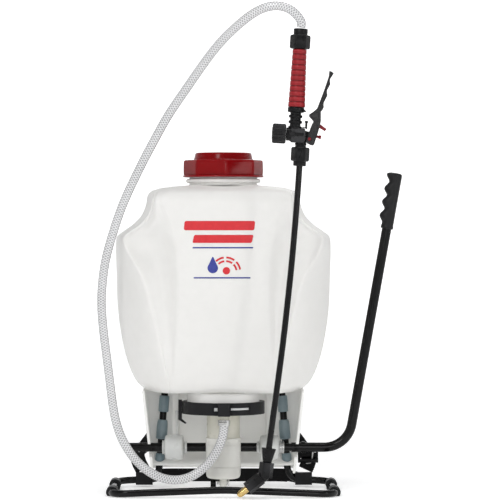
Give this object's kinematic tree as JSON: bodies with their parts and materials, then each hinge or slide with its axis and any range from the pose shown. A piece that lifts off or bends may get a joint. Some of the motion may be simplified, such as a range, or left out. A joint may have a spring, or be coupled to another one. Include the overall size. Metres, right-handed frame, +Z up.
{
  "type": "backpack sprayer",
  "caption": "Manual backpack sprayer with a moulded tank on a tube frame, lever-worked piston pump, clear hose, trigger gun and long wand.",
  "frame": {"origin": "on the floor at the centre of the object's footprint box", "axes": "+Z up, +X towards the pump lever, +Y towards the wearer's back, -Y the side with the hose and gun"},
  "size_m": [0.5027, 0.2958, 0.7963],
  "materials": {
    "tank_plastic": "translucent natural white blow-moulded polyethylene",
    "skirt_plastic": "translucent white moulding in shade",
    "black_enamel": "gloss black enamel on steel tube",
    "grey_plastic": "blue-grey translucent sleeve",
    "black_rubber": "soft black",
    "white_nylon": "natural nylon",
    "zinc_steel": "zinc plated",
    "black_plastic": "moulded black, fine grain",
    "grey_black_plastic": "moulded charcoal",
    "seal_rubber": "nitrile",
    "beige_plastic": "natural polypropylene",
    "cup_plastic": "natural white polypropylene",
    "clear_hose": "clear vinyl with braid",
    "strap_fabric": "black woven webbing",
    "red_plastic": "deep red moulding",
    "red_grip": "red vinyl sleeve",
    "wand_plastic": "black extruded tube",
    "brass": "turned brass"
  },
  "bodies": {
    "root": {"tank_shell": "tank_plastic", "base_skirt": "skirt_plastic", "frame_tube": "black_enamel", "frame_clips": "grey_plastic", "foot_sleeves": "black_rubber", "bearing_block_left": "white_nylon", "bearing_block_right": "white_nylon", "shaft_washers": "white_nylon", "steel_washers": "zinc_steel", "collar_front": "black_plastic", "collar_rear": "black_plastic", "collar_bracket": "black_plastic", "sump_gasket": "seal_rubber", "sump_screen": "white_nylon", "pump_head": "white_nylon", "pump_tube": "beige_plastic", "piston_seal": "seal_rubber", "pressure_chamber": "beige_plastic", "hose": "clear_hose", "hose_clamp": "zinc_steel", "shoulder_pad_left": "strap_fabric", "shoulder_pad_right": "strap_fabric", "strap_web_left": "strap_fabric", "strap_web_right": "strap_fabric", "strap_anchor": "black_plastic", "strap_hooks": "black_plastic", "strap_buckle": "black_plastic", "waist_belt": "strap_fabric"},
    "lid_seal": {"cap_gasket": "seal_rubber"},
    "lid": {"filler_cap": "red_plastic"},
    "vent": {"cap_vent_valve": "seal_rubber"},
    "strainer": {"filler_strainer": "black_plastic"},
    "lever": {"cross_shaft": "black_enamel", "crank_arm": "black_enamel", "cotter_pin": "zinc_steel", "lever_tube": "black_enamel", "lever_bolt": "zinc_steel", "lever_grip": "black_rubber"},
    "pump": {"pump_cup": "cup_plastic", "pump_cross_pin": "zinc_steel"},
    "check_valve": {"valve_ball": "white_nylon"},
    "hose_end": {"hose_nut": "black_plastic"},
    "gun": {"gun_body": "black_plastic", "gun_grip": "red_grip", "latch_post": "black_plastic", "valve_spring": "zinc_steel"},
    "trigger": {"trigger": "grey_black_plastic", "trigger_pin": "red_plastic"},
    "latch": {"trigger_lock": "red_plastic"},
    "button": {"lock_button": "red_plastic"},
    "stem": {"valve_stem": "zinc_steel"},
    "valve_cap": {"valve_cap": "grey_black_plastic"},
    "wand_nut": {"wand_nut": "black_plastic"},
    "wand": {"wand_tube": "wand_plastic", "nozzle_elbow": "black_plastic"},
    "nozzle_nut": {"nozzle_nut": "black_plastic"},
    "nozzle": {"nozzle_tip": "brass"}
  },
  "joints": [
    {"name": "cap_lift", "type": "slide", "parent": "root", "child": "lid_seal", "axis": [0, 0, 1], "range_m": [0, 0.12]},
    {"name": "cap_turn", "type": "hinge", "parent": "lid_seal", "child": "lid", "pos_m": [-0.0462, 0.0225, 0.53], "axis": [0, 0, 1], "range_deg": [0, 360]},
    {"name": "vent_open", "type": "slide", "parent": "lid", "child": "vent", "axis": [0, 0, -1], "range_m": [0, 0.0025], "stiffness_N_per_m": 40},
    {"name": "strainer_lift", "type": "slide", "parent": "root", "child": "strainer", "axis": [0, 0, 1], "range_m": [0, 0.06]},
    {"name": "lever_swing", "type": "hinge", "parent": "root", "child": "lever", "pos_m": [-0.0462, 0.0525, 0.068], "axis": [1, 0, 0], "range_deg": [-34, 3]},
    {"name": "pump_stroke", "type": "slide", "parent": "root", "child": "pump", "axis": [0, 0, 1], "range_m": [-0.0035, 0.037]},
    {"name": "valve_lift", "type": "slide", "parent": "root", "child": "check_valve", "axis": [0, 0, 1], "range_m": [0, 0.003]},
    {"name": "hose_reach", "type": "slide", "parent": "root", "child": "hose_end", "axis": [0, -1, 0], "range_m": [0, 0.2]},
    {"name": "gun_swivel", "type": "hinge", "parent": "hose_end", "child": "gun", "pos_m": [0.07657, -0.1315, 0.73187], "axis": [0.0558, 0, 0.9984], "range_deg": [0, 90]},
    {"name": "trigger_pull", "type": "hinge", "parent": "gun", "child": "trigger", "pos_m": [0.09097, -0.1315, 0.57382], "axis": [0, -1, 0], "range_deg": [0, 12], "stiffness_Nm_per_rad": 2, "springref_deg": -2.86},
    {"name": "stem_push", "type": "slide", "parent": "gun", "child": "stem", "axis": [-0.9984, 0, 0.0558], "range_m": [0, 0.0032]},
    {"name": "latch_turn", "type": "hinge", "parent": "trigger", "child": "latch", "pos_m": [0.10501, -0.1315, 0.59567], "axis": [0, -1, 0], "range_deg": [0, 14]},
    {"name": "button_press", "type": "slide", "parent": "trigger", "child": "button", "axis": [-0.9847, 0, 0.1744], "range_m": [0, 0.001]},
    {"name": "valve_cap_turn", "type": "hinge", "parent": "gun", "child": "valve_cap", "pos_m": [0.04321, -0.1315, 0.5829], "axis": [-0.9984, 0, 0.0558], "range_deg": [0, 360]},
    {"name": "wand_nut_turn", "type": "hinge", "parent": "gun", "child": "wand_nut", "pos_m": [0.07613, -0.1315, 0.5466], "axis": [0.0558, 0, 0.9984], "continuous": true},
    {"name": "wand_swivel", "type": "hinge", "parent": "gun", "child": "wand", "pos_m": [0.07585, -0.1315, 0.54161], "axis": [0.0558, 0, 0.9984], "range_deg": [0, 90]},
    {"name": "nozzle_nut_turn", "type": "hinge", "parent": "wand", "child": "nozzle_nut", "pos_m": [0.0247, -0.1315, 0.067], "axis": [-0.1341, 0, -0.991], "continuous": true},
    {"name": "nozzle_turn", "type": "hinge", "parent": "wand", "child": "nozzle", "pos_m": [-0.0093, -0.1315, 0.0154], "axis": [-0.7881, 0, -0.6156], "continuous": true}
  ],
  "couplings": [
    {"joint": "strainer_lift", "follows": "cap_lift", "ratio": 0.5},
    {"joint": "pump_stroke", "follows": "lever_swing", "m_per_rad": -0.0607},
    {"joint": "stem_push", "follows": "trigger_pull", "m_per_rad": 0.0101}
  ]
}
